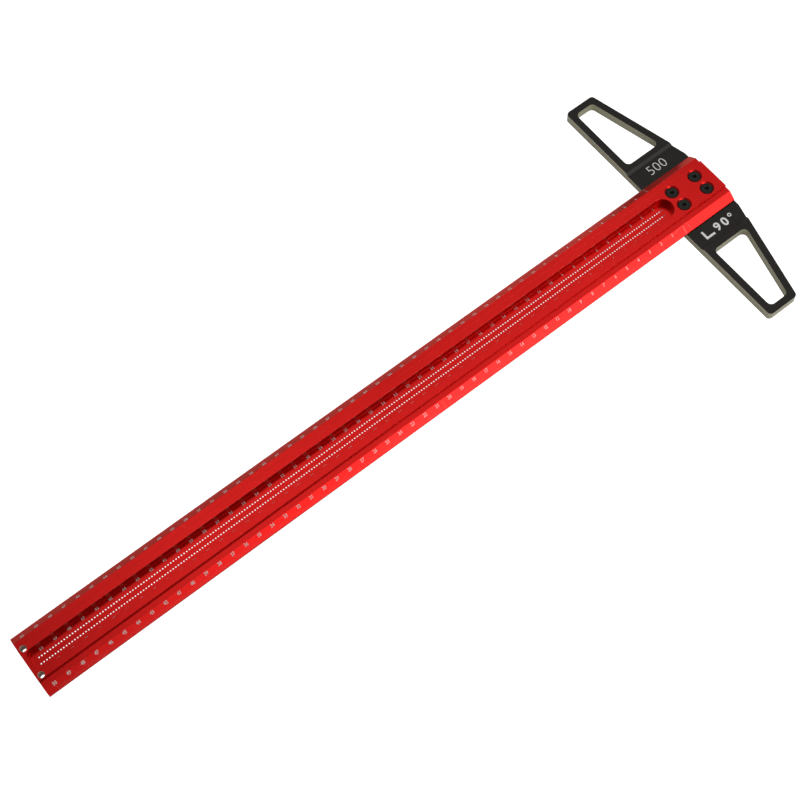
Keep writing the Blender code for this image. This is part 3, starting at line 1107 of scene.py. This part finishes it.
# a plain right angle sign, then 90 and a degree ring
sheet = newSheet(placing)
x, y = headMarks["angleMiddle"]
tall, stroke, thin = headMarks["angleHeight"], headMarks["stroke"], headMarks["thinStroke"]
left, foot = -x - headMarks["angleLength"] / 2, -y - tall / 2
innerLeft, innerFoot = left + stroke, foot + stroke
footEnd = left + headMarks["footShare"] * tall
addPlate(sheet, [
    (left, foot), (footEnd, foot), (footEnd, innerFoot),
    (innerLeft, innerFoot), (innerLeft, foot + tall), (left, foot + tall),
])
ring = headMarks["degreeRadius"]
right = left + headMarks["angleLength"]
addRing(sheet, right - ring, foot + tall - ring, ring, ring - thin)
middle = (footEnd + right - 2 * ring) / 2
addWord(sheet, "90", boldDigits, middle, -y, tall, headMarks["anglePitch"], headMarks["squeeze"])
finishSheet(sheet, "headAngleMark", etchedSilver)
print("scales: graduations and numbers placed")

# the tool rests on the head's inner bottom edge and on the blade's far end
restNear = Vector((headHigh.x, 0, headLow.z))
restFar = Vector((bladeHigh.x, 0, underside))
floorTilt = math.atan2(restFar.z - restNear.z, restFar.x - restNear.x)

white = (1.0, 1.0, 1.0, 1.0)
studio = {
    "floorSize": 14.0,
    "floorColour": (0.80, 0.80, 0.80, 1.0),
    "floorFleck": (0.76, 0.76, 0.76, 1.0),
    "fleckSize": 600.0,           # mm
    "floorRoughness": 0.9,
    "floorLift": 1.25,            # how bright the bare floor looks, as if overexposed
    "floorGlow": 0.14,            # a little light from below, as from a light table
    "roomStrength": 0.27,         # what lights and mirrors in the tool
    "backdropStrength": 1.0,      # what is seen past the floor
}
# seen from the middle of the tool: azimuth from +X towards +Y, elevation, distance, size, brightness
lights = {
    "middlePanel": (250, 63, 1.7, (0.6, 0.6), 0.37),
    "farPanel": (272, 67, 1.7, (0.6, 0.6), 1.0),
    "headPanel": (200, 62, 1.7, (0.9, 0.9), 1.08),
    "sideSoftbox": (120, 35, 1.7, (0.8, 0.8), 4.6),
    "sideFill": (95, 35, 1.7, (0.8, 0.8), 1.27),
    "backStrip": (245, 22, 1.7, (0.6, 0.4), 6.8),
}

floorMaterial, tree, shader, place = newMaterial("paleFloor", studio["floorColour"])
paper = addGroup(tree, softMottle, (-600, 200), {"Vector": place, "Size mm": studio["fleckSize"]})
tone = addMix(tree, (-200, 200), paper.outputs["Mask"], studio["floorColour"], studio["floorFleck"])
wire(tone, shader.inputs["Base Color"])
shader.inputs["Roughness"].default_value = studio["floorRoughness"]
shader.inputs["Emission Color"].default_value = white
shader.inputs["Emission Strength"].default_value = studio["floorGlow"]
seen = addNode(tree, "ShaderNodeLightPath", (300, -350))
lift = addNode(tree, "ShaderNodeEmission", (300, -150), {
    "Color": white, "Strength": studio["floorLift"],
})
overexposed = addNode(tree, "ShaderNodeMixShader", (600, -400))
wire(seen.outputs["Is Camera Ray"], overexposed.inputs[0])
wire(shader.outputs[0], overexposed.inputs[1])
wire(lift.outputs[0], overexposed.inputs[2])
behind = addNode(tree, "ShaderNodeNewGeometry", (500, 350))
clear = addNode(tree, "ShaderNodeBsdfTransparent", (600, -250))
mixer = addNode(tree, "ShaderNodeMixShader", (800, 150))
wire(behind.outputs["Backfacing"], mixer.inputs[0])
wire(overexposed.outputs[0], mixer.inputs[1])
wire(clear.outputs[0], mixer.inputs[2])
wire(mixer.outputs[0], tree.nodes["Material Output"].inputs["Surface"])

half = studio["floorSize"] / 2
floorMesh = bpy.data.meshes.new("floor")
corners = [(-half, -half, 0), (half, -half, 0), (half, half, 0), (-half, half, 0)]
floorMesh.from_pydata(corners, [], [(0, 1, 2, 3)])
floor = newObject("floor", floorMesh)
floor.location = restNear
floor.rotation_euler.y = -floorTilt
floorMesh.materials.append(floorMaterial)

world = bpy.data.worlds.new("studio")
bpy.context.scene.world = world
world.use_nodes = True
tree = world.node_tree
room = tree.nodes["Background"]
room.inputs["Color"].default_value = white
seen = addNode(tree, "ShaderNodeLightPath", (-400, 0)).outputs["Is Camera Ray"]
level = addRange(tree, (-200, 0), seen, 0.0, 1.0, studio["roomStrength"], studio["backdropStrength"])
wire(level, room.inputs["Strength"])

centre = (cadLow + cadHigh) / 2
for name, (azimuth, elevation, distance, size, brightness) in lights.items():
    flatTurn, upTurn = math.radians(azimuth), math.radians(elevation)
    towards = Vector((
        math.cos(upTurn) * math.cos(flatTurn), math.cos(upTurn) * math.sin(flatTurn), math.sin(upTurn),
    ))
    light = bpy.data.lights.new(name, "AREA")
    light.shape = "RECTANGLE"
    light.size, light.size_y = size
    light.energy = math.pi * size[0] * size[1] * brightness
    lamp = newObject(name, light)
    lamp.location = centre + towards * distance
    lamp.rotation_euler = (-towards).to_track_quat("-Z", "Y").to_euler()
    lamp.visible_camera = False

view = {
    "sensorWidth": 36.0,
    "lens": 71.84,
    "nearest": 0.01,
    "location": (0.46816, 0.36427, 0.92778),
    "turn": (25.325, 2.008, 142.136),     # degrees
}
cameraData = bpy.data.cameras.new("camera")
cameraData.sensor_width = view["sensorWidth"]
cameraData.lens = view["lens"]
cameraData.clip_start = view["nearest"]
camera = newObject("camera", cameraData)
camera.location = view["location"]
camera.rotation_euler = [math.radians(a) for a in view["turn"]]
bpy.context.scene.camera = camera
bpy.context.scene.view_settings.view_transform = "Standard"
print("studio: floor, lights and camera set")
